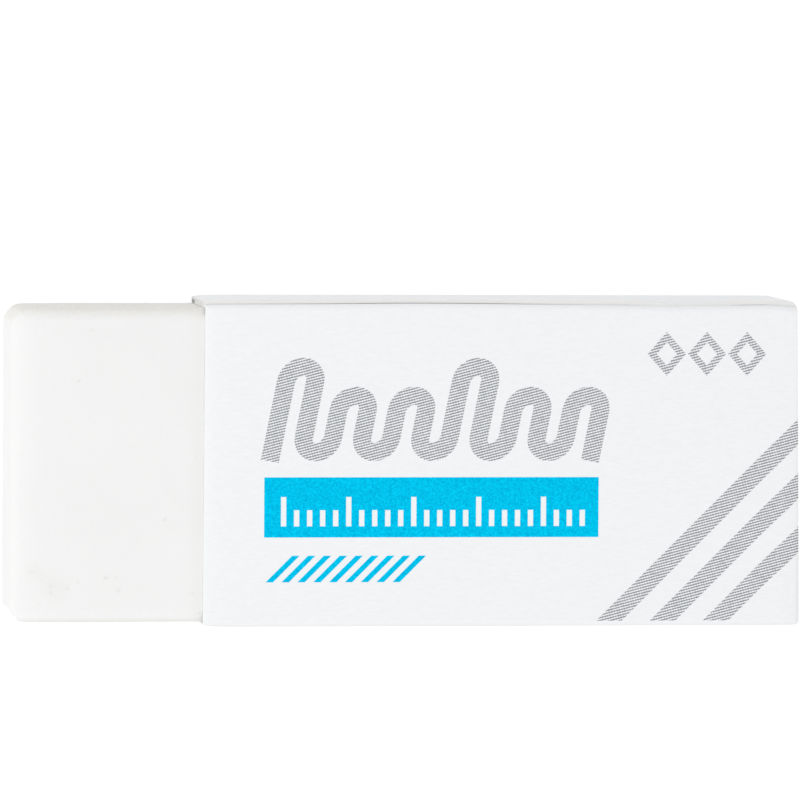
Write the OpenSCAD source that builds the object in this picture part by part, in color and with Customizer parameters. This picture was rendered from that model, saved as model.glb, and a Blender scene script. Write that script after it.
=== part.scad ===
// White rubber eraser block in a folded card sleeve, sizes in millimetres.
// +X runs along the block away from its bare end, +Y across it, +Z up through its thickness.
// The origin is under the middle of the sleeved block, on the sleeve's underside.

/* [Rubber block] */
// Length of the new block
rubber_len = 60; // [40:0.5:90]
// Width of the block
rubber_w = 24; // [16:0.5:36]
// Thickness of the block
rubber_t = 12; // [8:0.5:18]
// Radius along the four long edges
long_edge_r = 0.8; // [0.3:0.1:2.4]
// Radius across the ends, from the broad faces to the end faces
end_edge_r = 1.1; // [0.3:0.1:2.4]
// Radius of the upright corners
corner_r = 1.3; // [0.3:0.1:2.4]

/* [Place of the sleeve] */
// Length of rubber that stands out of the sleeve's mouth
bare_len = 14.6; // [5:0.1:30]
// Depth of the block's far end inside the sleeve's rear edge
rear_recess = 0.4; // [0:0.1:3]
// Gap between rubber and card on every side
slide_clear = 0.05; // [0.02:0.01:0.3]

/* [Card sleeve] */
// Thickness of the card
card_t = 0.28; // [0.18:0.01:0.5]
// Radius inside each fold
fold_in_r = 0.2; // [0.1:0.05:0.6]
// Height left bare between the glue flap's end and the bottom panel
flap_gap = 2.6; // [1:0.1:4]
// Drop of the lap's cut edge below the start of the top fold
seam_drop = 0.15; // [0.05:0.05:1]
// Thickness of the glue film between flap and lap
glue_t = 0.02; // [0.01:0.01:0.1]
// Width left dry along both edges of the glue film
glue_inset = 0.3; // [0.1:0.1:1]

/* [Hidden] */
$fn = 48;

fold_out_r = fold_in_r + card_t;

// The space inside the sleeve
cavity_w = rubber_w + 2 * slide_clear;
cavity_h = rubber_t + 2 * slide_clear;

// The sleeve outside: the lap side has two plies of card and the glue, the other side has one ply
lap_side_t = 2 * card_t + glue_t;
sleeve_len = rubber_len + rear_recess - bare_len;
sleeve_w = card_t + cavity_w + lap_side_t;
sleeve_h = cavity_h + 2 * card_t;
mouth_x = (bare_len - sleeve_len) / 2;

// The cavity lies off centre by half of what the lap side is thicker, towards the side with one ply
cavity_y = (card_t - lap_side_t) / 2;

// Flat lengths of the strip between its folds, from the lap's cut edge round to the glue flap
lap_len = sleeve_h - 2 * fold_out_r - seam_drop;
bottom_len = cavity_w + card_t + glue_t - 2 * fold_in_r;
side_len = cavity_h - 2 * fold_in_r;
top_len = cavity_w - 2 * fold_in_r;
flap_len = cavity_h - fold_in_r - flap_gap;
panel_lens = [lap_len, bottom_len, side_len, top_len, flap_len];

// Rectangle with round corners, from its lower left corner
module round_rect(w, h, r) {
    translate([r, 0]) square([w - 2 * r, h]);
    translate([0, r]) square([w, h - 2 * r]);
    for (x = [r, w - r], y = [r, h - r])
        translate([x, y]) circle(r);
}

// Quarter turn of card about the origin, from straight above it round to its right
module fold_section() {
    difference() {
        circle(fold_out_r);
        circle(fold_in_r);
        translate([-fold_out_r, -fold_out_r]) square([fold_out_r, 2 * fold_out_r]);
        translate([-fold_out_r, -fold_out_r]) square([2 * fold_out_r, fold_out_r]);
    }
}

// The strip of card in section, walked panel by panel: each panel runs along +X from the origin with
// its inside on the X axis, and the next one turns a right angle round the fold at its end
module strip_section(i = 0) {
    square([panel_lens[i], card_t]);
    if (i < len(panel_lens) - 1)
        translate([panel_lens[i], -fold_in_r]) {
            fold_section();
            rotate(-90) translate([0, fold_in_r]) strip_section(i + 1);
        }
}

// Glue film behind the lap, drawn in the strip's section: it beds in the middle of both plies
module glue_section() {
    flap_end = lap_len + fold_out_r - card_t - flap_gap;
    translate([glue_inset, -glue_t - card_t / 2])
        square([flap_end - 2 * glue_inset, glue_t + card_t]);
}

// White rubber block: a long bar with round edges, cut to length and eased at both ends
module rubber_block() {
    color("whitesmoke")
        translate([mouth_x - bare_len, cavity_y - rubber_w / 2, card_t + slide_clear])
            intersection() {
                linear_extrude(rubber_t) round_rect(rubber_len, rubber_w, corner_r);
                rotate([90, 0, 90])
                    linear_extrude(rubber_len) round_rect(rubber_w, rubber_t, long_edge_r);
                translate([0, rubber_w, 0]) rotate([90, 0, 0])
                    linear_extrude(rubber_w) round_rect(rubber_len, rubber_t, end_edge_r);
            }
}

// Folded card sleeve: one strip, closed by a flap that is glued behind the lap on the +Y side.
// The walk starts at the lap's cut edge, runs down the lap and under the block, up the plain side,
// over the top and down the glue flap.
module card_sleeve() {
    color("ghostwhite")
        translate([mouth_x, sleeve_w / 2 - card_t, fold_out_r + lap_len])
            rotate([90, 0, 90])
                linear_extrude(sleeve_len)
                    rotate(-90) {
                        strip_section();
                        glue_section();
                    }
}

rubber_block();
card_sleeve();
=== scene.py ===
"""Looks of a white rubber eraser in its folded card sleeve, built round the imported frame."""

import logging
import math
from dataclasses import dataclass
from enum import Enum

import bmesh
import bpy
import numpy as np
from mathutils import Matrix, Vector, noise


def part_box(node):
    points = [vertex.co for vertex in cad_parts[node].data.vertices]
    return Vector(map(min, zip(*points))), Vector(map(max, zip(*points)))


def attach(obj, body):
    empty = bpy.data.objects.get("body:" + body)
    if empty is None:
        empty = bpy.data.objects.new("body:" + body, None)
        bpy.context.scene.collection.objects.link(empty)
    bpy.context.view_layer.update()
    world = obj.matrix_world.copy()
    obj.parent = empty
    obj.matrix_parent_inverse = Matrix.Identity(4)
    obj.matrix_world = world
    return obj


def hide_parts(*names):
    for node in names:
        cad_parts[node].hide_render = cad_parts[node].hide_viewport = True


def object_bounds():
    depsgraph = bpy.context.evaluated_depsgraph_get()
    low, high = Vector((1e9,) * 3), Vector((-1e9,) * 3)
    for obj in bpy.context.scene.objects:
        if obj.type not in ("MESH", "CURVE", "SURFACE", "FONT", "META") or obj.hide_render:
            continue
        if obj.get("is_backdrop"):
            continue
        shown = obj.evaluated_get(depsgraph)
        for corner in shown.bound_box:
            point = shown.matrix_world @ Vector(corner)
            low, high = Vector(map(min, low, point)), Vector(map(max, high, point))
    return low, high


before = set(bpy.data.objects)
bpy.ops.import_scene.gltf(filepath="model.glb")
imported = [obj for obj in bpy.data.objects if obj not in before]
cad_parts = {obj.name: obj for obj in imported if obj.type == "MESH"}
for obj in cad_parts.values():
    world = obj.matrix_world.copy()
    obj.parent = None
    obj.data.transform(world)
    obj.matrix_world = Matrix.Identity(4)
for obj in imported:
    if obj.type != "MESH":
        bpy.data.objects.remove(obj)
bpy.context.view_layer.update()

MM = 0.001
SPLIT_M, WELD_M = 1e-8, 1e-7
LOG = logging.getLogger("eraser")

Colour = tuple[float, float, float, float]
Point = tuple[float, float]
Span = tuple[float, float, float]
Outlines = list[list[Point]]
Tree = bpy.types.NodeTree
Node = bpy.types.Node
Socket = bpy.types.NodeSocket
Material = bpy.types.Material
Piece = bpy.types.Object
Layer = tuple[Node, str]


def linear(hex_code: str) -> Colour:
    """Turns an sRGB hex colour into Blender's linear one.

    Args:
        hex_code: Six hex digits.

    Returns:
        Linear red, green and blue, and an alpha of 1.
    """
    parts = [int(hex_code[i : i + 2], 16) / 255 for i in (0, 2, 4)]
    red, green, blue = (c / 12.92 if c <= 0.04045 else ((c + 0.055) / 1.055) ** 2.4 for c in parts)
    return red, green, blue, 1.0


def add_node(tree: Tree, kind: str, inputs: dict | None = None, **settings: object) -> Node:
    """Adds a shader node, with its own settings, its input values and its links.

    Args:
        tree: Node tree that gets the node.
        kind: Blender's type name for the node, without the ShaderNode in front.
        inputs: Input name or number to a value, or to the socket or node that feeds it. A node feeds it
            from the first of its outputs in use.
        settings: Properties of the node itself.

    Returns:
        The new node.
    """
    node = tree.nodes.new("ShaderNode" + kind)
    for name, value in settings.items():
        setattr(node, name, value)
    for name, value in (inputs or {}).items():
        if isinstance(value, Node):
            value = next(socket for socket in value.outputs if socket.enabled)
        if isinstance(value, Socket):
            tree.links.new(value, node.inputs[name])
        else:
            node.inputs[name].default_value = value
    return node


def empty_tree(owner: Material | bpy.types.World) -> Tree:
    """Turns on the nodes of a material or world and clears them.

    Args:
        owner: The material or world.

    Returns:
        Its node tree.
    """
    owner.use_nodes = True
    owner.node_tree.nodes.clear()
    return owner.node_tree


def smooth_step(share: np.ndarray | float) -> np.ndarray | float:
    """Eases a share from 0 to 1 with flat ends."""
    held = np.clip(share, 0.0, 1.0)
    return held * held * (3 - 2 * held)


def quads(number: np.ndarray) -> np.ndarray:
    """Covers a grid of vertex numbers with quads.

    Args:
        number: The numbers, by row and column.

    Returns:
        The four numbers of each quad.
    """
    corners = number[:-1, :-1], number[1:, :-1], number[1:, 1:], number[:-1, 1:]
    return np.stack(corners, axis=-1).reshape(-1, 4)


def mesh_object(name: str, points: np.ndarray, faces: list | np.ndarray, materials: list[Material]) -> Piece:
    """Makes a smooth-shaded mesh object at the origin.

    Args:
        name: Name of the object and its mesh.
        points: Vertex places in metres.
        faces: Vertex numbers of each face.
        materials: Material slots, in order.

    Returns:
        The linked object.
    """
    mesh = bpy.data.meshes.new(name)
    mesh.from_pydata(points.tolist(), [], [[int(n) for n in face] for face in faces])
    mesh.validate()
    mesh.polygons.foreach_set("use_smooth", [True] * len(mesh.polygons))
    for material in materials:
        mesh.materials.append(material)
    piece = bpy.data.objects.new(name, mesh)
    bpy.context.scene.collection.objects.link(piece)
    return piece


@dataclass(frozen=True)
class Grain:
    """Noise of a real size.

    Attributes:
        mm: Size of its largest grains.
        detail: Levels of finer grains in them.
        rough: Strength of each level, as a share of the last one's.
    """

    mm: float
    detail: float
    rough: float = 0.6

    def over(self, place: Socket | Node) -> dict:
        """Gives the inputs that draw it over a place."""
        return {"Vector": place, "Scale": 1 / (self.mm * MM), "Detail": self.detail, "Roughness": self.rough}


@dataclass(frozen=True)
class Ramp:
    """A rise of a share with a value.

    Attributes:
        start: Value at which the share is still 0.
        full: Value at which it is whole.
        share: The whole share.
    """

    start: float
    full: float
    share: float = 1.0

    def over(self, value: Socket | Node) -> dict:
        """Gives the inputs that draw it over a value."""
        return {"Value": value, "From Min": self.start, "From Max": self.full, "To Max": self.share}


@dataclass(frozen=True)
class Mark:
    """A speck or a faint stain on the rubber's broad face.

    Attributes:
        x: Distance from the bare end, in mm.
        y: Distance from the block's middle line, towards the lap side, in mm.
        radius: How far it fades out, in mm.
        strength: Share of the mark's own colour at its middle.
    """

    x: float
    y: float
    radius: float
    strength: float


@dataclass(frozen=True, kw_only=True)
class Finish:
    """A real material as it was worked: a colour with others laid over it, and a gloss.

    Attributes:
        name: The material and how it was worked.
        colour: The colour under all others.
    """

    name: str
    colour: str
    roughness: float
    ior: float = 1.5
    specular: float = 0.5

    def draw(self, tree: Tree, place: Socket) -> tuple[list[Layer], dict]:
        """Draws what lies over the first colour.

        Args:
            tree: The material's node tree.
            place: Socket of the point on the object.

        Returns:
            The layers, each as the node of its share and its hex colour, and more inputs of the surface.
        """
        raise NotImplementedError

    def material(self) -> Material:
        """Builds the material.

        Returns:
            The finished material.
        """
        made = bpy.data.materials.new(self.name)
        tree = empty_tree(made)
        layers, inputs = self.draw(tree, add_node(tree, "TexCoord").outputs["Object"])
        colour = linear(self.colour)
        for share, over in layers:
            colour = add_node(tree, "Mix", {"Factor": share, "A": colour, "B": linear(over)}, data_type="RGBA")
        gloss = {"Roughness": self.roughness, "IOR": self.ior, "Specular IOR Level": self.specular}
        surface = add_node(tree, "BsdfPrincipled", {"Base Color": colour, **gloss, **inputs})
        add_node(tree, "OutputMaterial", {"Surface": surface})
        return made


@dataclass(frozen=True, kw_only=True)
class Elastomer(Finish):
    """White thermoplastic elastomer rubber, pressed in a slab and knife-cut to size.

    To the eye: a soft, matt, slightly translucent white, fine-grained on the broad faces and rougher on
    the cut sides, with painted shade before the sleeve's mouth, on the cut sides, on the ends' round edges and
    in the pits.

    Attributes:
        low: Lowest corner of the block.
        high: Highest corner of the block.
        mouth_x: Where the sleeve's mouth lies along X.
        clouds: Slow clouds in the white, of which clouded is the share.
        grain: Fine grain of the broad faces, of which mottled is the share.
        cut_grain: Grain of the cut sides, drawn out by cut_stretch; pitted is the share of painted shade in
            their pits.
        mouth_shade_mm: Reach of the painted shade before the sleeve's mouth, which stays bare_rim_mm clear of
            the sleeve.
        lap_side: Slope at which the surface is the cut side by the lap, with its tone and painted shade;
            plain_side is for the other one.
        end_edge: Slope at which it is the round edge of an end, which gets painted shade.
        stray: Grain by which the marks are ragged, by up to stray_mm.
    """

    low: Vector
    high: Vector
    mouth_x: float
    name: str = "knife_cut_white_elastomer"
    colour: str = "F5F5F5"
    shade: str = "F0F0EF"
    # painted shade before the sleeve's mouth, where the card's step shades the rubber
    mouth_shade_colour: str = "F1F1EF"
    # painted shade on the round edges of the ends, which the lamp lights most
    end_edge_shade_colour: str = "F2F2F1"
    # the cut sides' own warmer tone, with painted shade of the narrow sides
    cut_tone_and_shade_colour: str = "F4F4F1"
    mark_colour: str = "C5C1AF"
    # painted shade in the pits of the cut sides
    pore_shade_colour: str = "ECE9E3"
    roughness: float = 0.62
    specular: float = 0.10
    subsurface: float = 0.14
    subsurface_mm: float = 0.5
    subsurface_tint: Span = (1.0, 0.95, 0.85)
    clouds: Grain = Grain(7, 3)
    clouded: Ramp = Ramp(0.4, 0.75, 0.35)
    grain: Grain = Grain(0.22, 4)
    grain_depth_mm: float = 0.004
    mottled: Ramp = Ramp(0.3, 0.7, 0.5)
    cut_grain: Grain = Grain(0.17, 4, 0.65)
    cut_stretch: float = 0.2
    cut_depth_mm: float = 0.05
    pitted: Ramp = Ramp(0.68, 0.32)
    mouth_shade_mm: float = 1.5
    bare_rim_mm: float = 0.25
    lap_side: Ramp = Ramp(0.15, 0.9)
    plain_side: Ramp = Ramp(-0.6, -0.95)
    end_edge: Ramp = Ramp(0.42, 0.5)
    stray: Grain = Grain(0.3, 2)
    stray_mm: float = 0.22
    stains: tuple[Mark, ...] = (Mark(1.72, -8.17, 1.1, 0.07), Mark(3.32, -9.16, 1.6, 0.07))
    specks: tuple[Mark, ...] = (
        Mark(1.45, -8.10, 0.24, 0.24),
        Mark(2.38, -8.81, 0.20, 0.16),
        Mark(1.18, -9.30, 0.22, 0.18),
        Mark(3.02, -9.14, 0.28, 0.18),
        Mark(4.23, -9.31, 0.26, 0.20),
        Mark(3.02, -9.69, 0.22, 0.18),
        Mark(5.10, -8.87, 0.20, 0.14),
        Mark(7.22, -8.55, 0.24, 0.30),
        Mark(7.99, -8.61, 0.22, 0.19),
        Mark(8.16, -9.50, 0.24, 0.23),
        Mark(2.16, -10.56, 0.24, 0.11),
        Mark(13.84, -9.72, 0.22, 0.16),
        Mark(5.10, 6.47, 0.20, 0.24),
        Mark(6.08, 10.36, 0.18, 0.30),
        Mark(14.06, 0.75, 0.16, 0.30),
        Mark(11.71, -4.14, 0.18, 0.24),
        Mark(14.49, -11.20, 0.16, 0.60),
    )

    def draw(self, tree: Tree, place: Socket) -> tuple[list[Layer], dict]:
        """Draws clouds, grain, marks and cut sides, and painted shade on the sides, on end edges, in pits and
        by the mouth.

        Args:
            tree: The material's node tree.
            place: Socket of the point on the object.

        Returns:
            The layers and more inputs of the surface.
        """
        normal = add_node(tree, "TexCoord").outputs["Normal"]
        facing = add_node(tree, "SeparateXYZ", {"Vector": normal}).outputs
        # the cut sides take their own tone and painted shade of the narrow sides, reaching further round the
        # lap side's edge
        by_lap, plain = (
            add_node(tree, "MapRange", slope.over(facing["Y"])) for slope in (self.lap_side, self.plain_side)
        )
        side = add_node(tree, "Math", {0: by_lap, 1: plain}, operation="MAXIMUM")
        # painted shade on the round edges of the ends, strongest halfway round them
        steep = add_node(tree, "Math", {0: facing["X"], 1: facing["Z"]}, operation="MULTIPLY")
        edge_roll = add_node(tree, "Math", {0: steep}, operation="ABSOLUTE")
        edge = add_node(tree, "MapRange", self.end_edge.over(edge_roll))
        clouds = add_node(tree, "TexNoise", self.clouds.over(place))
        grain = add_node(tree, "TexNoise", self.grain.over(place))
        blotch = add_node(tree, "MapRange", self.clouded.over(clouds))
        mottle = add_node(tree, "MapRange", self.mottled.over(grain))
        uneven = add_node(tree, "Math", {0: blotch, 1: mottle}, operation="ADD")
        along = add_node(tree, "SeparateXYZ", {"Vector": place}).outputs["X"]
        # painted shade that deepens towards the sleeve's mouth and fades just short of it
        near = Ramp(self.mouth_x - self.mouth_shade_mm * MM, self.mouth_x)
        clear = Ramp(self.mouth_x, self.mouth_x - self.bare_rim_mm * MM)
        shade_rise, bare = (
            add_node(tree, "MapRange", ramp.over(along), interpolation_type="SMOOTHERSTEP")
            for ramp in (near, clear)
        )
        mouth_shade = add_node(tree, "Math", {0: shade_rise, 1: bare}, operation="MULTIPLY")
        stretch = {0: place, 1: (1.0, 1.0, self.cut_stretch)}
        drawn = add_node(tree, "VectorMath", stretch, operation="MULTIPLY")
        cut = add_node(tree, "TexNoise", self.cut_grain.over(drawn))
        # painted shade in the pits of the cut sides
        pits = add_node(tree, "MapRange", self.pitted.over(cut))
        pore_shade = add_node(tree, "Math", {0: pits, 1: side}, operation="MULTIPLY")
        fine = add_node(tree, "Bump", {"Height": grain, "Distance": self.grain_depth_mm * MM})
        relief = {"Height": cut, "Strength": side, "Distance": self.cut_depth_mm * MM, "Normal": fine}
        # the mouth, end-edge and pit layers are painted shade; the cut-side layer is the sides' own tone with
        # painted shade
        layers = [
            (uneven, self.shade),
            (mouth_shade, self.mouth_shade_colour),
            (edge, self.end_edge_shade_colour),
            (side, self.cut_tone_and_shade_colour),
            *self._marks(tree, place),
            (pore_shade, self.pore_shade_colour),
        ]
        return layers, {
            "Normal": add_node(tree, "Bump", relief),
            "Subsurface Weight": self.subsurface,
            "Subsurface Radius": self.subsurface_tint,
            "Subsurface Scale": self.subsurface_mm * MM,
        }

    def _marks(self, tree: Tree, place: Socket) -> list[Layer]:
        """Draws the stains and specks, none of them quite round.

        Args:
            tree: The material's node tree.
            place: Socket of the point on the object.

        Returns:
            A layer for each.
        """
        noisy = add_node(tree, "TexNoise", self.stray.over(place)).outputs["Color"]
        reach = self.stray_mm * MM
        centred = {0: noisy, 1: 3 * (2 * reach,), 2: 3 * (-reach,)}
        step = add_node(tree, "VectorMath", centred, operation="MULTIPLY_ADD")
        ragged = add_node(tree, "VectorMath", {0: place, 1: step}, operation="ADD")
        layers = []
        for mark in self.stains + self.specks:
            spot = self.low.x + mark.x * MM, (self.low.y + self.high.y) / 2 + mark.y * MM, self.high.z
            away = add_node(tree, "VectorMath", {0: ragged, 1: spot}, operation="DISTANCE")
            fade = Ramp(mark.radius * MM, 0.0, mark.strength)
            layers.append((add_node(tree, "MapRange", fade.over(away)), self.mark_colour))
        return layers


@dataclass(frozen=True, kw_only=True)
class CoatedCard(Finish):
    """White folding box board with a coated, calendered face.

    To the eye: a smooth, faintly bluish white with a soft sheen, hardly any tooth, and the faint streaks
    of fibres that lie along the sleeve.

    Attributes:
        clouds: Faint clouds of the pulp.
        fibres: Grain of the streaks, drawn out by streak_stretch; streaked is their share.
        tooth: Grain of the face's relief.
    """

    name: str = "calendered_coated_card"
    colour: str = "F7F8FA"
    shade: str = "F5F6F8"
    streak: str = "F2F3F5"
    roughness: float = 0.42
    specular: float = 0.12
    clouds: Grain = Grain(9, 4, 0.55)
    fibres: Grain = Grain(0.15, 2)
    streak_stretch: float = 0.28
    streaked: Ramp = Ramp(0.3, 0.7)
    tooth: Grain = Grain(0.18, 3)
    tooth_depth_mm: float = 0.002

    def draw(self, tree: Tree, place: Socket) -> tuple[list[Layer], dict]:
        """Draws the pulp and the face's fine tooth.

        Args:
            tree: The material's node tree.
            place: Socket of the point on the object.

        Returns:
            The layers and more inputs of the surface.
        """
        tooth = add_node(tree, "TexNoise", self.tooth.over(place))
        relief = add_node(tree, "Bump", {"Height": tooth, "Distance": self.tooth_depth_mm * MM})
        return self.pulp(tree, place), {"Normal": relief}

    def pulp(self, tree: Tree, place: Socket) -> list[Layer]:
        """Draws the faint clouds of the pulp and its fine streaks.

        Args:
            tree: The material's node tree.
            place: Socket of the point on the object.

        Returns:
            A layer for each.
        """
        clouds = add_node(tree, "TexNoise", self.clouds.over(place))
        stretch = {0: place, 1: (self.streak_stretch, 1.0, 1.0)}
        drawn = add_node(tree, "VectorMath", stretch, operation="MULTIPLY")
        fibres = add_node(tree, "TexNoise", self.fibres.over(drawn))
        return [(clouds, self.shade), (add_node(tree, "MapRange", self.streaked.over(fibres)), self.streak)]


@dataclass(frozen=True, kw_only=True)
class CutCard(Finish):
    """Guillotined edge of the card, its uncoated pulp open.

    To the eye: a duller, greyer white than the face, with short fibres lying along the cut.
    """

    name: str = "guillotined_card_edge"
    colour: str = "F3F3F2"
    shade: str = "E6E5E2"
    roughness: float = 0.85
    fibres: Grain = Grain(0.12, 3, 0.7)
    fibre_depth_mm: float = 0.004

    def draw(self, tree: Tree, place: Socket) -> tuple[list[Layer], dict]:
        """Draws the open fibres.

        Args:
            tree: The material's node tree.
            place: Socket of the point on the object.

        Returns:
            The layers and more inputs of the surface.
        """
        fibres = add_node(tree, "TexNoise", self.fibres.over(place))
        relief = add_node(tree, "Bump", {"Height": fibres, "Distance": self.fibre_depth_mm * MM})
        return [(fibres, self.shade)], {"Normal": relief}


@dataclass(frozen=True, kw_only=True)
class SolidInk(Finish):
    """Offset-printed cyan ink, laid solid.

    To the eye: a flat, bright cyan with the fine mottle of ink that sank unevenly into the coating.
    """

    name: str = "offset_printed_cyan_ink"
    colour: str = "02D6FF"
    shade: str = "00B0DE"
    roughness: float = 0.6
    specular: float = 0.01
    mottle: Grain = Grain(0.17, 2)
    sunk: Ramp = Ramp(0.3, 0.7)

    def draw(self, tree: Tree, place: Socket) -> tuple[list[Layer], dict]:
        """Draws the mottle.

        Args:
            tree: The material's node tree.
            place: Socket of the point on the object.

        Returns:
            The layers and more inputs of the surface.
        """
        mottle = add_node(tree, "TexNoise", self.mottle.over(place))
        return [(add_node(tree, "MapRange", self.sunk.over(mottle)), self.shade)], {}


@dataclass(frozen=True, kw_only=True)
class HalftoneInk(CoatedCard):
    """Offset-printed black ink in a halftone screen on the coated card, which reads as grey.

    To the eye: rows of dark dashes with white card between them, 5 to the mm and 15 degrees off the
    card's length, the screen of an ordinary printer, with dashes that took more or less ink.

    Attributes:
        screen_mm: Pitch of the rows and of the dashes in them.
        row_share: Share of the pattern that the rows make; the dashes in them make the rest.
        cover: Height of the pattern at a dash's edge, where edge is the edge's softness.
        gain: How unevenly the dashes take ink, with the grain spread.
    """

    name: str = "offset_printed_grey_halftone"
    ink: str = "93969B"
    screen_mm: float = 0.201
    screen_degrees: float = 14.8
    row_share: float = 0.75
    cover: float = -0.10
    edge: float = 0.70
    gain: float = 0.5
    spread: Grain = Grain(0.22, 1, 0.5)

    def draw(self, tree: Tree, place: Socket) -> tuple[list[Layer], dict]:
        """Draws the dashes over the card's pulp.

        Args:
            tree: The material's node tree.
            place: Socket of the point on the object.

        Returns:
            The layers and more inputs of the surface.
        """
        turn = math.radians(self.screen_degrees)
        pitch = 2 * math.pi / (self.screen_mm * MM)
        along = (math.cos(turn) * pitch, math.sin(turn) * pitch, 0.0)
        across = (math.sin(turn) * pitch, -math.cos(turn) * pitch, 0.0)
        waves = []
        for direction, share in ((across, self.row_share), (along, 1 - self.row_share)):
            phase = add_node(tree, "VectorMath", {0: place, 1: direction}, operation="DOT_PRODUCT")
            wave = add_node(tree, "Math", {0: phase}, operation="COSINE")
            waves.append(add_node(tree, "Math", {0: wave, 1: share}, operation="MULTIPLY"))
        height = add_node(tree, "Math", {0: waves[0], 1: waves[1]}, operation="ADD")
        spread = add_node(tree, "TexNoise", self.spread.over(place))
        uneven = {0: spread, 1: 2 * self.gain, 2: height}
        taken = add_node(tree, "Math", uneven, operation="MULTIPLY_ADD")
        level = self.cover + self.gain
        rise = Ramp(level - self.edge, level + self.edge)
        dashes = add_node(tree, "MapRange", rise.over(taken), interpolation_type="SMOOTHSTEP")
        return self.pulp(tree, place) + [(dashes, self.ink)], {}


@dataclass
class RubberBlock:
    """The block of rubber: round long edges, eased ends, and a soft give where the sleeve holds it.

    Attributes:
        low: Lowest corner of the block in the frame.
        high: Highest corner of the block in the frame.
        mouth_x: Where the sleeve's mouth lies along X.
        ease_mm: How far the round edges reach along X, Y and Z.
        corner_mm: Radius of the upright corners, by the lap and on the plain side.
        edge_steps: Facets in each half of a round edge.
        pitch_mm: Size of the facets on the flat faces.
        end_fall_mm: How far the broad faces fall away towards the bare end and the covered one.
        end_reach_mm: Length over which they fall.
        side_share: How much of that, and of the squeeze, the narrow sides do.
        squeeze_mm: How far the sleeve's edge presses the broad face in.
        squeeze_reach_mm: Length over which it does.
        waver_mm: Height of the slow waves in the faces.
        waver_sink: How far they lie under the face, as a share of that height.
        wave_mm: Their length.
    """

    low: Vector
    high: Vector
    mouth_x: float
    ease_mm: Span = (0.4, 1.05, 0.9)
    corner_mm: Point = (1.4, 0.9)
    edge_steps: int = 7
    pitch_mm: float = 0.55
    end_fall_mm: Point = (0.64, 0.15)
    end_reach_mm: float = 1.0
    side_share: float = 0.1
    squeeze_mm: float = 0.03
    squeeze_reach_mm: float = 2.5
    waver_mm: float = 0.02
    waver_sink: float = 0.5
    wave_mm: float = 5.0

    def build(self) -> Piece:
        """Builds the block and lays its finish on.

        Returns:
            The block's object, in place of its node.
        """
        half = np.array(self.high - self.low) / 2
        ease = np.array(self.ease_mm) * MM
        boxed, faces = self._box([self._stations(half[k], ease[k]) for k in range(3)])
        core = np.clip(boxed, ease - half, half - ease)
        spread = (boxed - core) / ease
        normals = spread / np.linalg.norm(spread, axis=1)[:, None]
        rounded = core + normals * ease
        corner = np.where(rounded[:, 1] > 0, *self.corner_mm)[:, None] * MM
        past = np.clip((np.abs(rounded[:, :2]) - half[:2]) / corner + 1, 0, None)
        pull = 1 - np.sqrt(1 - past[:, ::-1] ** 2 / 2)
        rounded[:, :2] -= np.sign(rounded[:, :2]) * past * pull * corner
        placed = self._give(rounded, normals) + np.array((self.low + self.high) / 2)
        rubber = Elastomer(low=self.low, high=self.high, mouth_x=self.mouth_x).material()
        block = mesh_object("rubber_block_soft", placed, faces, [rubber])
        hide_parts("rubber_block")
        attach(block, "block")
        return block

    def _stations(self, half: float, ease: float) -> np.ndarray:
        """Places the grid lines along one side, close together round the edges.

        Args:
            half: Half the side's length.
            ease: Reach of the round edge along it.

        Returns:
            Distances from the middle of the side, in metres.
        """
        turns = np.tan(np.linspace(0, math.pi / 4, self.edge_steps + 1))
        flat = half - ease
        rise = flat + ease * turns[1:]
        count = max(2, round(2 * flat / (self.pitch_mm * MM)))
        return np.concatenate([-rise[::-1], np.linspace(-flat, flat, count + 1), rise])

    def _box(self, lines: list[np.ndarray]) -> tuple[np.ndarray, np.ndarray]:
        """Covers a box with quads between grid lines.

        Args:
            lines: Places of the lines along X, Y and Z.

        Returns:
            The points, and the vertex numbers of each quad.
        """
        points, faces, count = [], [], 0
        for axis in range(3):
            u, v = np.meshgrid(lines[(axis + 1) % 3], lines[(axis + 2) % 3], indexing="ij")
            for end in (0, -1):
                level = np.full(u.shape, lines[axis][end])
                points.append(np.roll(np.stack([level, u, v], axis=-1), axis, axis=-1).reshape(-1, 3))
                side = quads(np.arange(u.size).reshape(u.shape)) + count
                faces.append(side if end else side[:, ::-1])
                count += u.size
        welded, number = np.unique(np.concatenate(points), axis=0, return_inverse=True)
        return welded, number.reshape(-1)[np.concatenate(faces)]

    def _give(self, points: np.ndarray, normals: np.ndarray) -> np.ndarray:
        """Lets the rubber fall away at its ends, give under the sleeve's edge and waver slowly.

        Args:
            points: Points about the block's middle.
            normals: Outward directions there.

        Returns:
            The moved points.
        """
        half = (self.high - self.low) / 2
        mouth = self.mouth_x - (self.low.x + self.high.x) / 2
        from_end = half.x - np.abs(points[:, 0])
        deep = np.where(points[:, 0] < 0, *self.end_fall_mm)
        fall = deep * np.exp(-from_end / (self.end_reach_mm * MM))
        before = np.exp(-np.clip(mouth - points[:, 0], 0, None) / (self.squeeze_reach_mm * MM))
        sink = (fall + self.squeeze_mm * before) * MM
        waver = np.array([noise.noise(Vector(p) / (self.wave_mm * MM)) for p in points]) - self.waver_sink
        moved = points.copy()
        moved[:, 2] -= np.sign(points[:, 2]) * sink * np.abs(normals[:, 2])
        moved[:, 1] -= np.sign(points[:, 1]) * sink * self.side_share * np.abs(normals[:, 1])
        moved += normals * (waver * self.waver_mm * MM)[:, None]
        return moved


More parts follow.
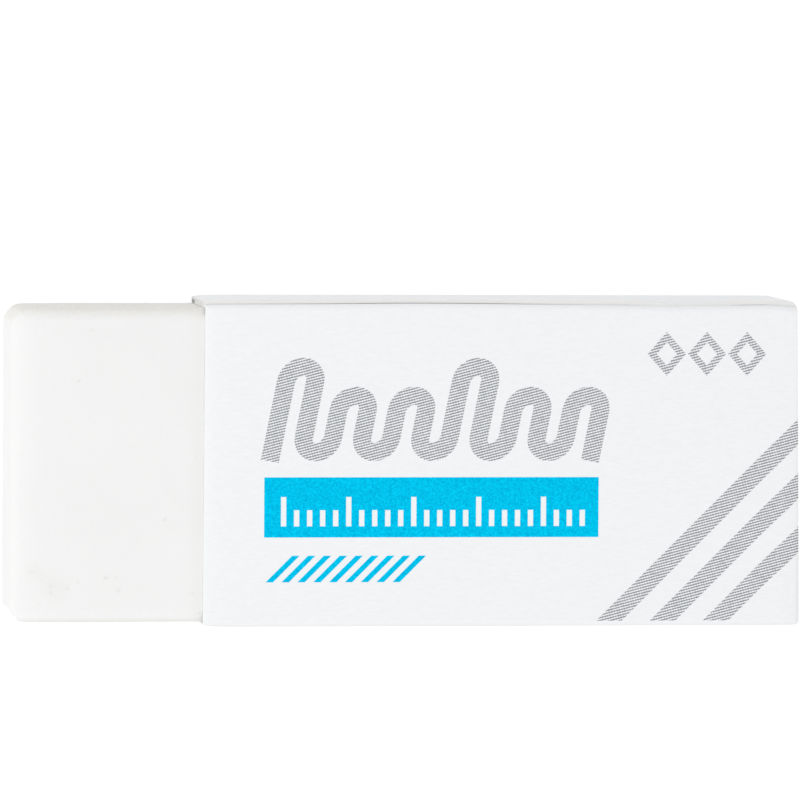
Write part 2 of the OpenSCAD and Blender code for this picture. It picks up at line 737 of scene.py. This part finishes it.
@dataclass
class Strip:
    """The strip of card in section, walked from the lap's cut edge round to the glue flap's end.

    Attributes:
        start: Y and Z of the inside of the lap's cut edge.
        panels: Flat lengths between the folds.
        card_t: Thickness of the card.
        fold_in_r: Radius inside each fold.
        pitch: Distance between the points on the flats.
        fold_steps: Facets round each fold.
    """

    start: Point
    panels: list[float]
    card_t: float
    fold_in_r: float
    pitch: float = 0.4 * MM
    fold_steps: int = 8

    def __post_init__(self) -> None:
        """Walks the strip and keeps its points, normals and lengths along the outside."""
        spot, heading, run = np.array(self.start), np.array((0.0, -1.0)), 0.0
        inner, normal, length, starts = [], [], [], []
        for i, flat in enumerate(self.panels):
            out = np.array((-heading[1], heading[0]))
            starts.append(run)
            steps = max(1, round(flat / self.pitch))
            for k in range(steps + 1):
                inner.append(spot + heading * flat * k / steps)
                normal.append(out)
                length.append(run + flat * k / steps)
            spot, run = spot + heading * flat, run + flat
            if i == len(self.panels) - 1:
                break
            centre = spot - out * self.fold_in_r
            for k in range(1, self.fold_steps):
                turn = math.pi / 2 * k / self.fold_steps
                now = out * math.cos(turn) + heading * math.sin(turn)
                inner.append(centre + now * self.fold_in_r)
                normal.append(now)
                length.append(run + turn * (self.fold_in_r + self.card_t))
            run += math.pi / 2 * (self.fold_in_r + self.card_t)
            spot = centre + heading * self.fold_in_r
            heading = np.array((heading[1], -heading[0]))
        self.inner, self.normal = np.array(inner), np.array(normal)
        self.length, self.starts = np.array(length), starts

    def at(self, length: np.ndarray, depth: np.ndarray | float) -> tuple[np.ndarray, np.ndarray]:
        """Finds points of the section.

        Args:
            length: Distances along the outside.
            depth: Height of each point over the inside.

        Returns:
            Their Y and Z, and the outward directions there.
        """
        spots, outs = (
            np.stack([np.interp(length, self.length, walked[:, k]) for k in (0, 1)], axis=-1)
            for walked in (self.inner, self.normal)
        )
        outs /= np.linalg.norm(outs, axis=-1)[..., None]
        return spots + outs * np.asarray(depth)[..., None], outs


@dataclass
class CardSleeve:
    """The folded card sleeve, a strip creased four times and closed by a flap glued behind a lap.

    Attributes:
        low: Lowest corner of the sleeve in the frame.
        high: Highest corner of the sleeve in the frame.
        card_mm: Thickness of the card.
        fold_in_mm: Radius inside each fold.
        flap_gap_mm: Height left bare under the glue flap's end.
        seam_drop_mm: Drop of the lap's cut edge below the start of the top fold.
        glue_mm: Glue between flap and lap.
        pitch_mm: Distance between the rings along the sleeve.
        end_rings: Places of the closer rings by a cut, as shares of its shoulder's reach.
        mouth_shoulder_mm: Reach and depth of the soft shoulder along the cut at the mouth.
        rear_shoulder_mm: Reach and depth of it at the rear.
        rear_wear_mm: How much deeper it is there on the plain side than by the lap.
        pinch_mm: Reach and depth of the sleeve's close grip at the mouth.
        pinch_side: Share of that depth on the narrow sides.
        mouth_out_mm: How far the cut at the mouth lies off square, by the lap and on the plain side.
        rear_out_mm: How far the cut at the rear does.
        out_reach_mm: Length over which that fades out.
        crown_mm: How far the top panel stands proud of flat.
        crown_level: Share of the crown that is always there, and share that comes and goes.
        crown_turns: Waves of the crown along the sleeve.
        crown_wave_mm: Length of its waves across the sleeve.
        crown_phase: Where they start, in radians.
        pressed_mm: How far the lap's cut edge is pressed against the flap.
        seam_reach_mm: Width of the lap that follows its cut edge.
        seam_wave_mm: Length and height of the slow waves in the cut edge.
        fold_reach_mm: Width of the fold's bulges.
        fold_bulges_mm: Bulges of the fold by the seam: distance from the mouth, reach and height.
        lap_bulges_mm: Bulges of the lap's cut edge alone, in the same way.
        dent_mm: Length, depth and height of the dent in the rear corner by the seam.
        dent_side_mm: How far in from the lap side the dent starts, and over what width it deepens.
        ragged_mm: Roughness of the cut: its worst place below the fold, reach and depth.
        ragged_worst: How much is added to it at that place, as a multiple.
        ragged_grain_mm: Size of the roughness.
        ragged_line: Line of the noise that it follows.
        card: Finish of the faces.
        cut: Finish of the cut edges.
    """

    low: Vector
    high: Vector
    card_mm: float = 0.28
    fold_in_mm: float = 0.2
    flap_gap_mm: float = 2.6
    seam_drop_mm: float = 0.15
    glue_mm: float = 0.02
    pitch_mm: float = 0.9
    end_rings: tuple[float, ...] = (0, 0.1, 0.25, 0.5, 0.8, 1.2, 1.8, 2.6)
    mouth_shoulder_mm: Point = (0.45, 0.11)
    rear_shoulder_mm: Point = (0.16, 0.03)
    rear_wear_mm: float = 0.22
    pinch_mm: Point = (0.9, 0.07)
    pinch_side: float = 0.5
    mouth_out_mm: Point = (0.13, 0.03)
    rear_out_mm: Point = (-0.07, 0.25)
    out_reach_mm: float = 3.0
    crown_mm: float = 0.04
    crown_level: Point = (0.6, 0.25)
    crown_turns: float = 1.3
    crown_wave_mm: float = 31.0
    crown_phase: float = 0.7
    pressed_mm: float = 0.010
    seam_reach_mm: float = 1.5
    seam_wave_mm: Point = (8.3, 0.03)
    fold_reach_mm: float = 0.8
    fold_bulges_mm: tuple[Span, ...] = ((17.0, 8.0, 0.10), (36.5, 5.5, -0.11))
    lap_bulges_mm: tuple[Span, ...] = ((37.3, 2.4, -0.07), (33.0, 2.0, 0.03), (41.5, 2.0, 0.03))
    dent_mm: Span = (1.8, 0.22, 1.4)
    dent_side_mm: Point = (1.9, 1.2)
    ragged_mm: Span = (2.4, 1.1, 0.025)
    ragged_worst: float = 2.0
    ragged_grain_mm: float = 0.5
    ragged_line: float = 3.1
    card: CoatedCard = CoatedCard()
    cut: CutCard = CutCard()

    def __post_init__(self) -> None:
        """Works out the strip from the sleeve's box."""
        size = self.high - self.low
        card, glue, r_in = self.card_mm * MM, self.glue_mm * MM, self.fold_in_mm * MM
        r_out = r_in + card
        hollow_w, hollow_h = size.y - 3 * card - glue, size.z - 2 * card
        lap = size.z - 2 * r_out - self.seam_drop_mm * MM
        panels = [
            lap,
            hollow_w + card + glue - 2 * r_in,
            hollow_h - 2 * r_in,
            hollow_w - 2 * r_in,
            hollow_h - r_in - self.flap_gap_mm * MM,
        ]
        self.fold_out = r_out
        self.strip = Strip((self.high.y - card, self.low.z + r_out + lap), panels, card, r_in)

    def rings(self) -> np.ndarray:
        """Places the rings along X, close together at the two cut ends.

        Returns:
            Distances along X.
        """
        shares = np.array(self.end_rings)
        near = self.low.x + self.mouth_shoulder_mm[0] * MM * shares
        far = self.high.x - self.rear_shoulder_mm[0] * MM * shares[::-1]
        count = round((far[0] - near[-1]) / (self.pitch_mm * MM))
        return np.concatenate([near, np.linspace(near[-1], far[0], count + 1)[1:-1], far])

    def edge_roll(self, x: np.ndarray, length: np.ndarray) -> np.ndarray:
        """Gives how far the card's face falls away near its two cut ends, but not on the covered flap.

        Args:
            x: Distances along X.
            length: Distances along the strip's outside.

        Returns:
            Depths in metres.
        """
        starts = self.strip.starts
        plain = np.clip((starts[4] - length) / (starts[4] - starts[3]), 0, 1) ** 2
        near, near_depth = self.mouth_shoulder_mm
        far, far_depth = self.rear_shoulder_mm
        mouth = near_depth * np.exp((self.low.x - x) / (near * MM))
        rear = (far_depth + self.rear_wear_mm * plain) * np.exp((x - self.high.x) / (far * MM))
        open_share = smooth_step((starts[4] - length) / (math.pi / 2 * self.fold_out))
        return open_share * (mouth + rear) * MM

    def place(self, x: np.ndarray, length: np.ndarray, depth: np.ndarray) -> np.ndarray:
        """Finds points of the sleeve as it really lies, with its crown, wavers and dented corner.

        Args:
            x: Distances along X.
            length: Distances along the strip's outside.
            depth: Heights over the card's inside.

        Returns:
            The points in the frame.
        """
        spots, outs = self.strip.at(length, depth)
        reach, pinch = self.pinch_mm
        grip = pinch * MM * (self.pinch_side + (1 - self.pinch_side) * np.abs(outs[..., 1]))
        held = np.exp((self.low.x - x) / (reach * MM))
        lift = self._lift(x, length) * (1 - held) - grip * held
        y, z = np.moveaxis(spots + outs * lift[..., None], -1, 0)
        run = (x - self.low.x) / MM
        fold = self.strip.starts[4] - self.fold_out * math.pi / 4
        window = np.exp(-(((length - fold) / (self.fold_reach_mm * MM)) ** 2))
        seam = np.exp(-length / (self.seam_reach_mm * MM))
        for bulges, share in ((self.fold_bulges_mm, window + seam), (self.lap_bulges_mm, seam)):
            for middle, reach, height in bulges:
                y += np.exp(-(((run - middle) / reach) ** 2)) * share * height * MM
        y -= seam * self.pressed_mm * MM
        wave, swing = self.seam_wave_mm
        z += seam * swing * MM * np.sin(2 * math.pi * run / wave)
        far, deep, tall = (value * MM for value in self.dent_mm)
        inset, width = (value * MM for value in self.dent_side_mm)
        rear = np.clip(1 - (self.high.x - x) / far, 0, 1)
        side = smooth_step((y - self.high.y + inset) / width)
        y -= rear * side * smooth_step(1 - (self.high.z - z) / tall) * deep
        lap_share = (y - self.low.y) / (self.high.y - self.low.y)
        skewed = np.array(x, dtype=float)
        for gap, (by_lap, plain) in ((x - self.low.x, self.mouth_out_mm), (self.high.x - x, self.rear_out_mm)):
            near = smooth_step(1 - gap / (self.out_reach_mm * MM))
            skewed += near * (plain + (by_lap - plain) * lap_share) * MM
        return np.stack([skewed, y, z], axis=-1)

    def _lift(self, x: np.ndarray, length: np.ndarray) -> np.ndarray:
        """Gives the top panel's distance from flat, outwards and never inwards.

        Args:
            x: Distances along X.
            length: Distances along the strip's outside.

        Returns:
            Distances in metres.
        """
        inside = np.clip((length - self.strip.starts[3]) / self.strip.panels[3], 0, 1)
        along = (x - self.low.x) / (self.high.x - self.low.x)
        level, swing = self.crown_level
        waves = along * self.crown_turns + length / (self.crown_wave_mm * MM)
        slow = level + swing * np.sin(2 * math.pi * waves + self.crown_phase)
        return self.crown_mm * MM * np.sin(math.pi * inside) ** 2 * slow

    def build(self) -> Piece:
        """Builds the sleeve and lays its finishes on.

        Returns:
            The sleeve's object, in place of its node.
        """
        length = self.strip.length
        x, run = np.meshgrid(self.rings(), length, indexing="ij")
        outer = self.place(x, run, self.card_mm * MM - self.edge_roll(x, run))
        inner = self.place(x, run, np.zeros_like(x))
        tear, reach, depth = (value * MM for value in self.ragged_mm)
        fray = 1 + self.ragged_worst * np.exp(-(((length - self.strip.starts[4] + tear) / reach) ** 2))
        grain = self.ragged_grain_mm * MM
        rough = np.array([noise.noise(Vector((s / grain, self.ragged_line, 0))) for s in length])
        ragged = rough * depth * fray
        for side in (outer, inner):
            side[0, :, 0] += ragged
            side[-1, :, 0] += ragged[::-1]
        number = np.arange(x.size).reshape(x.shape)
        outside = quads(number)
        faces = np.concatenate([outside, outside[:, ::-1] + x.size])
        rim = np.concatenate([number[::-1, 0], number[0, 1:], number[1:, -1], number[-1, -2:0:-1]])
        ahead = np.roll(rim, -1)
        cuts = np.stack([rim, ahead, ahead + x.size, rim + x.size], axis=-1)
        points = np.concatenate([outer.reshape(-1, 3), inner.reshape(-1, 3)])
        finishes = [self.card.material(), self.cut.material()]
        sleeve = mesh_object("card_sleeve_folded", points, np.concatenate([faces, cuts]), finishes)
        for k, polygon in enumerate(sleeve.data.polygons):
            polygon.material_index = int(k >= len(faces))
            polygon.use_smooth = k < len(faces)
        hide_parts("card_sleeve")
        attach(sleeve, "sleeve")
        return sleeve


class Ink(Enum):
    """The two printing inks on the sleeve."""

    CYAN = "cyan_print"
    GREY = "grey_print"


@dataclass
class Print:
    """The print on the sleeve's top panel: thin films of ink that lie on the card.

    Places on the panel are in mm: the first number runs from the mouth to the rear, the second up from
    the panel's lower edge, the side with one ply.

    Attributes:
        sleeve: The sleeve that carries the print.
        film_mm: Height of the ink over the card.
        bed_mm: Depth of the film's underside in the card.
        tick_long_every: Ticks from one long one to the next.
        tick_heights: Height of the short ticks and of the long ones.
        squiggle_turn: Radius of the squiggle's half circles.
        squiggle_lean: How far its legs lean, as a share of their height.
    """

    sleeve: CardSleeve
    film_mm: float = 0.012
    bed_mm: float = 0.05
    bar_at: Point = (4.68, 6.86)
    bar_size: Point = (25.73, 4.59)
    tick_from: float = 5.95
    tick_pitch: float = 1.0
    tick_count: int = 24
    tick_long_every: int = 5
    tick_width: float = 0.42
    tick_low: float = 7.70
    tick_heights: Point = (1.25, 2.26)
    stroke_from: float = 4.82
    stroke_low: float = 3.43
    stroke_size: Point = (0.55, 2.02)
    stroke_pitch: float = 1.217
    stroke_count: int = 9
    stripe_width: float = 1.96
    stripe_foot: float = 0.42
    stripe_starts: tuple[float, ...] = (30.31, 34.46, 38.57)
    squiggle_at: Point = (5.08, 12.69)
    squiggle_stroke: float = 1.38
    squiggle_turn: float = 1.12
    squiggle_lean: float = 0.2
    squiggle_heights: tuple[float, ...] = (7.9, 5.7, 5.7, 7.9, 5.7, 5.7)
    squiggle_facets: int = 12
    diamond_at: Point = (34.15, 19.22)
    diamond_size: Point = (2.95, 3.37)
    diamond_stroke: float = 0.52
    diamond_pitch: float = 3.11
    diamond_count: int = 3

    def build(self) -> list[Piece]:
        """Builds every printed field.

        Returns:
            The films of ink.
        """
        cyan, grey = SolidInk().material(), HalftoneInk().material()
        return [
            self._film("cyan_rule_bar", self._bar(), cyan),
            self._film("cyan_slanted_strokes", self._strokes(), cyan),
            self._film("grey_squiggle", self._squiggle(), grey),
            self._film("grey_diamonds", self._diamonds(), grey),
            self._film("grey_diagonal_stripes", self._stripes(), grey),
        ]

    def _bar(self) -> Outlines:
        """Outlines the cyan bar as boxes round a row of ruler ticks that stay bare.

        Returns:
            The outline of each box.
        """
        left, low = self.bar_at
        right, high = left + self.bar_size[0], low + self.bar_size[1]
        boxes = [(left, low, right, self.tick_low)]
        for k in range(self.tick_count):
            start = self.tick_from + k * self.tick_pitch
            end = start + self.tick_width
            top = self.tick_low + self.tick_heights[int(k % self.tick_long_every == 0)]
            boxes += [(left, self.tick_low, start, high), (start, top, end, high)]
            left = end
        boxes.append((left, self.tick_low, right, high))
        return [[(x0, y0), (x1, y0), (x1, y1), (x0, y1)] for x0, y0, x1, y1 in boxes]

    def _strokes(self) -> Outlines:
        """Outlines a row of short strokes that slant like the stripes.

        Returns:
            The outline of each stroke.
        """
        (width, tall), low = self.stroke_size, self.stroke_low
        top = low + tall
        feet = [self.stroke_from + k * self.stroke_pitch for k in range(self.stroke_count)]
        return [[(x, low), (x + width, low), (x + width + tall, top), (x + tall, top)] for x in feet]

    def _squiggle(self) -> Outlines:
        """Outlines one thick squiggle, slanted legs with half circles between them, in short quads.

        Returns:
            The outline of each quad.
        """
        turn, half = self.squiggle_turn, self.squiggle_stroke / 2
        left, low = self.squiggle_at
        foot = low + half + turn
        line = [(left, low)]
        for k, tall in enumerate(self.squiggle_heights):
            for side, level in ((1, low + tall - half - turn), (-1, foot)):
                if side < 0 and k == len(self.squiggle_heights) - 1:
                    break
                for n in range(self.squiggle_facets + 1):
                    angle = math.pi * (1 - n / self.squiggle_facets)
                    line.append((left + turn * (1 + math.cos(angle)), level + side * turn * math.sin(angle)))
                left += 2 * turn
        line.append((left, low))
        middle = np.array([(x + self.squiggle_lean * (y - low), y) for x, y in line])
        ahead = np.gradient(middle, axis=0)
        step = half * np.stack([-ahead[:, 1], ahead[:, 0]], axis=1) / np.linalg.norm(ahead, axis=1)[:, None]
        upper, lower = middle + step, middle - step
        return [[tuple(q) for q in quad] for quad in zip(lower, lower[1:], upper[1:], upper)]

    def _diamonds(self) -> Outlines:
        """Outlines a short row of open diamonds, each from four bars.

        Returns:
            The outline of each bar.
        """
        width, tall = self.diamond_size
        scale = 1 - 2 * self.diamond_stroke * math.hypot(width, tall) / (width * tall)
        bars = []
        for k in range(self.diamond_count):
            x = self.diamond_at[0] + width / 2 + k * self.diamond_pitch
            y = self.diamond_at[1] + tall / 2
            outer = [(x - width / 2, y), (x, y - tall / 2), (x + width / 2, y), (x, y + tall / 2)]
            inner = [(x + (a - x) * scale, y + (b - y) * scale) for a, b in outer]
            bars += [[outer[n - 1], outer[n], inner[n], inner[n - 1]] for n in range(4)]
        return bars

    def _stripes(self) -> Outlines:
        """Outlines the diagonal stripes, which run off the panel at its rear edge.

        Returns:
            The outline of each stripe.
        """
        rear = (self.sleeve.high.x - self.sleeve.low.x) / MM
        foot, top = self.stripe_foot, self.stripe_foot + rear
        ends = [(x, x + self.stripe_width) for x in self.stripe_starts]
        return [[(a, foot), (b, foot), (rear, top - b), (rear, top - a)] for a, b in ends]

    def _film(self, name: str, outlines: Outlines, material: Material) -> Piece:
        """Lays outlines on the card as one thin closed film.

        Args:
            name: Name of the piece.
            outlines: Convex outlines on the panel, in mm.
            material: The ink's material.

        Returns:
            The film's object.
        """
        sleeve = self.sleeve
        edge = sleeve.strip.starts[3] - sleeve.fold_out
        flat = bmesh.new()
        for outline in outlines:
            flat.faces.new([flat.verts.new((sleeve.low.x + u * MM, edge + v * MM, 0.0)) for u, v in outline])
        bmesh.ops.recalc_face_normals(flat, faces=flat.faces)
        for axis, cuts in ((Vector((1, 0, 0)), sleeve.rings()), (Vector((0, 1, 0)), sleeve.strip.length)):
            values = [v.co.dot(axis) for v in flat.verts]
            for cut in cuts:
                if min(values) < cut < max(values):
                    bmesh.ops.bisect_plane(
                        flat, geom=flat.verts[:] + flat.edges[:] + flat.faces[:], dist=SPLIT_M,
                        plane_co=axis * cut, plane_no=axis,
                    )
        bmesh.ops.remove_doubles(flat, verts=flat.verts, dist=WELD_M)
        flat.verts.index_update()
        plan = np.array([v.co for v in flat.verts])
        upper = [[v.index for v in f.verts] for f in flat.faces]
        if next(iter(flat.faces)).normal.z < 0:
            upper = [f[::-1] for f in upper]
        directed = {(f[k - 1], f[k]) for f in upper for k in range(len(f))}
        rim = [(a, b) for a, b in directed if (b, a) not in directed]
        flat.free()
        x, run = plan[:, 0], plan[:, 1]
        card = sleeve.card_mm * MM - sleeve.edge_roll(x, run)
        top, bed = (sleeve.place(x, run, card + height * MM) for height in (self.film_mm, -self.bed_mm))
        count = len(plan)
        faces = upper + [[n + count for n in f[::-1]] for f in upper]
        faces += [[b, a, a + count, b + count] for a, b in sorted(rim)]
        film = mesh_object(name, np.concatenate([top, bed]), faces, [material])
        for polygon in film.data.polygons:
            polygon.use_smooth = False
        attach(film, "sleeve")
        return film


@dataclass
class Studio:
    """White table, soft light from all round and from the bare end's side, and the camera.

    Attributes:
        aim_mm: Point that the camera looks at, from the middle of the top face.
        camera_mm: Distance of the camera from there.
        lean_left: How far the camera stands off towards the bare end, as a share of that distance.
        lean_back: How far it stands off towards the lap side.
        roll_degrees: Clockwise roll of the camera.
        lens_mm: Focal length of the camera.
        film_mm: Width of its picture.
        seen_m: Nearest and farthest distance that it sees.
        sky: Strength of the soft light from all round.
        far_dim: How much dimmer it is low down beyond the lap side.
        far_power: How closely it is so only there.
        key: Power of the large lamp, in watts.
        key_from_mm: Place of the large lamp.
        key_size_mm: Side of the large lamp.
        table_m: Half the table's side.
        table_body: Share of the light that the table throws back at the object.
        table_glow: Part of the table's white that doesn't take the object's shadow.
        table_shade: Part of it that does.
    """

    aim_mm: Point = (-0.548, 4.89)
    camera_mm: float = 621.0
    lean_left: float = 0.1116
    lean_back: float = 0.0493
    roll_degrees: float = 0.32
    lens_mm: float = 365.8
    film_mm: float = 36.0
    seen_m: Point = (0.01, 10.0)
    sky: float = 0.886
    far_dim: float = 0.35
    far_power: float = 3.0
    key: float = 0.70
    key_from_mm: Span = (-430.0, 0.0, 390.0)
    key_size_mm: float = 360.0
    table_m: float = 3.0
    table_body: float = 0.91
    table_glow: float = 0.82
    table_shade: float = 0.27

    def build(self, low: Vector, high: Vector) -> None:
        """Builds the table, the light and the camera.

        Args:
            low: Lowest corner of the object.
            high: Highest corner of the object.
        """
        self._table(low.z)
        self._sky()
        self._lamp(high.z)
        self._camera(high.z)

    def _shown(self, tree: Tree) -> Node:
        """Finds the rays that see a plain white ground: the camera's, and those off gloss or through glass.

        Args:
            tree: Node tree of the table or the world.

        Returns:
            The node that is 1 for such a ray.
        """
        rays = add_node(tree, "LightPath").outputs
        pair = {0: rays["Is Camera Ray"], 1: rays["Is Glossy Ray"]}
        direct = add_node(tree, "Math", pair, operation="MAXIMUM")
        return add_node(tree, "Math", {0: direct, 1: rays["Is Transmission Ray"]}, operation="MAXIMUM")

    def _table(self, level: float) -> None:
        """Lays a white table under the object.

        Args:
            level: Height of its top.
        """
        made = bpy.data.materials.new("white_table")
        tree = empty_tree(made)
        body, seen = (
            add_node(tree, "BsdfDiffuse", {"Color": (*3 * (white,), 1.0)})
            for white in (self.table_body, self.table_shade)
        )
        glow = add_node(tree, "Emission", {"Strength": self.table_glow})
        shown = add_node(tree, "AddShader", {0: seen, 1: glow})
        mixed = add_node(tree, "MixShader", {0: self._shown(tree), 1: body, 2: shown})
        add_node(tree, "OutputMaterial", {"Surface": mixed})
        side = self.table_m
        corners = [(-side, -side, level), (side, -side, level), (side, side, level), (-side, side, level)]
        mesh_object("table", np.array(corners), [(0, 1, 2, 3)], [made])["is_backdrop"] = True

    def _sky(self) -> None:
        """Sets the light from all round, dimmer low down beyond the lap side, and the white ground."""
        world = bpy.data.worlds.new("white_studio")
        bpy.context.scene.world = world
        tree = empty_tree(world)
        way = add_node(tree, "SeparateXYZ", {"Vector": add_node(tree, "TexCoord").outputs["Generated"]})
        far = add_node(tree, "Math", {0: way.outputs["Y"], 1: 0.0}, operation="MAXIMUM")
        share = add_node(tree, "Math", {0: far, 1: self.far_power}, operation="POWER")
        dimmed = {0: share, 1: -self.far_dim * self.sky, 2: self.sky}
        level = add_node(tree, "Math", dimmed, operation="MULTIPLY_ADD")
        ground = {"Factor": self._shown(tree), "A": level, "B": 1.0}
        strength = add_node(tree, "Mix", ground, data_type="FLOAT")
        even = add_node(tree, "Background", {"Color": (1.0, 1.0, 1.0, 1.0), "Strength": strength})
        add_node(tree, "OutputWorld", {"Surface": even})

    def _lamp(self, top: float) -> None:
        """Hangs the large lamp, turned to the object.

        Args:
            top: Height of the object's top face.
        """
        lamp = bpy.data.lights.new("window_light", "AREA")
        lamp.energy, lamp.size = self.key, self.key_size_mm * MM
        spot = Vector(self.key_from_mm) * MM
        turned = (Vector((0, 0, top)) - spot).to_track_quat("-Z", "Y").to_matrix().to_4x4()
        holder = bpy.data.objects.new("window_light", lamp)
        holder.matrix_world = Matrix.Translation(spot) @ turned
        bpy.context.scene.collection.objects.link(holder)

    def _camera(self, top: float) -> None:
        """Sets the camera almost straight above the object, a little towards its bare end.

        Args:
            top: Height of the object's top face.
        """
        back = Vector((-self.lean_left, self.lean_back, 0.0))
        back.z = math.sqrt(1 - back.length_squared)
        right = Vector((0, 1, 0)).cross(back).normalized()
        turned = Matrix((right, back.cross(right), back)).transposed()
        turned = turned @ Matrix.Rotation(math.radians(self.roll_degrees), 3, "Z")
        data = bpy.data.cameras.new("camera")
        data.lens, data.sensor_width = self.lens_mm, self.film_mm
        data.clip_start, data.clip_end = self.seen_m
        aim = Vector((self.aim_mm[0] * MM, self.aim_mm[1] * MM, top))
        camera = bpy.data.objects.new("camera", data)
        camera.matrix_world = Matrix.Translation(aim + back * self.camera_mm * MM) @ turned.to_4x4()
        bpy.context.scene.collection.objects.link(camera)
        bpy.context.scene.camera = camera


def main() -> None:
    """Builds the block, the sleeve, its print and the studio, which it sets round the object's bounds."""
    logging.basicConfig(level=logging.INFO, format="%(name)s: %(message)s")
    scene = bpy.context.scene
    scene.view_settings.view_transform = "Standard"
    sleeve_low, sleeve_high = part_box("card_sleeve")
    block_low, block_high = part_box("rubber_block")
    sleeve = CardSleeve(sleeve_low, sleeve_high)
    pieces = [RubberBlock(block_low, block_high, sleeve_low.x).build(), sleeve.build()]
    pieces += Print(sleeve).build()
    for piece in pieces:
        LOG.info("%s: %d faces", piece.name, len(piece.data.polygons))
    low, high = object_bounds()
    Studio().build(low, high)


if __name__ == "__main__":
    main()
